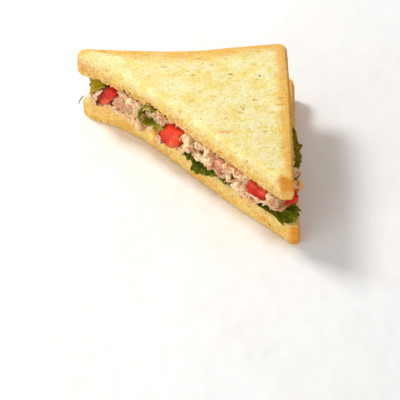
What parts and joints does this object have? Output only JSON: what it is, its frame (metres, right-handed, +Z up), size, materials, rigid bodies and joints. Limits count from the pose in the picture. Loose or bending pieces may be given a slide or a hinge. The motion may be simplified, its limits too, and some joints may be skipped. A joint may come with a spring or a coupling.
{
  "type": "tuna salad sandwich half",
  "caption": "Diagonal half of a tuna salad sandwich on thick white bread, with lettuce, diced tomato, sweetcorn and red onion in the filling, cut face open.",
  "frame": {"origin": "middle of the bounding box, on the flat base of the lower slice", "axes": "+X along the back crust towards the loaf's square corner, +Y from the front point towards the back crust, +Z up through the slices"},
  "size_m": [0.1184, 0.1174, 0.0471],
  "materials": {
    "bread": "dry, porous",
    "tuna": "moist",
    "tomato": "wet",
    "corn": "wet",
    "lettuce": "waxy",
    "onion": "wet"
  },
  "bodies": {
    "root": {"bread_bottom": "bread", "bread_top": "bread", "tuna_salad": "tuna", "tomato_left": "tomato", "tomato_middle": "tomato", "tomato_right": "tomato", "tomato_tip": "tomato", "tomato_side": "tomato", "tomato_back": "tomato", "corn_middle": "corn", "corn_side": "corn", "corn_back": "corn", "onion_middle": "onion", "lettuce_middle": "lettuce", "lettuce_tip": "lettuce", "lettuce_side": "lettuce", "lettuce_left": "lettuce", "lettuce_back": "lettuce", "lettuce_curl": "lettuce"}
  },
  "joints": []
}
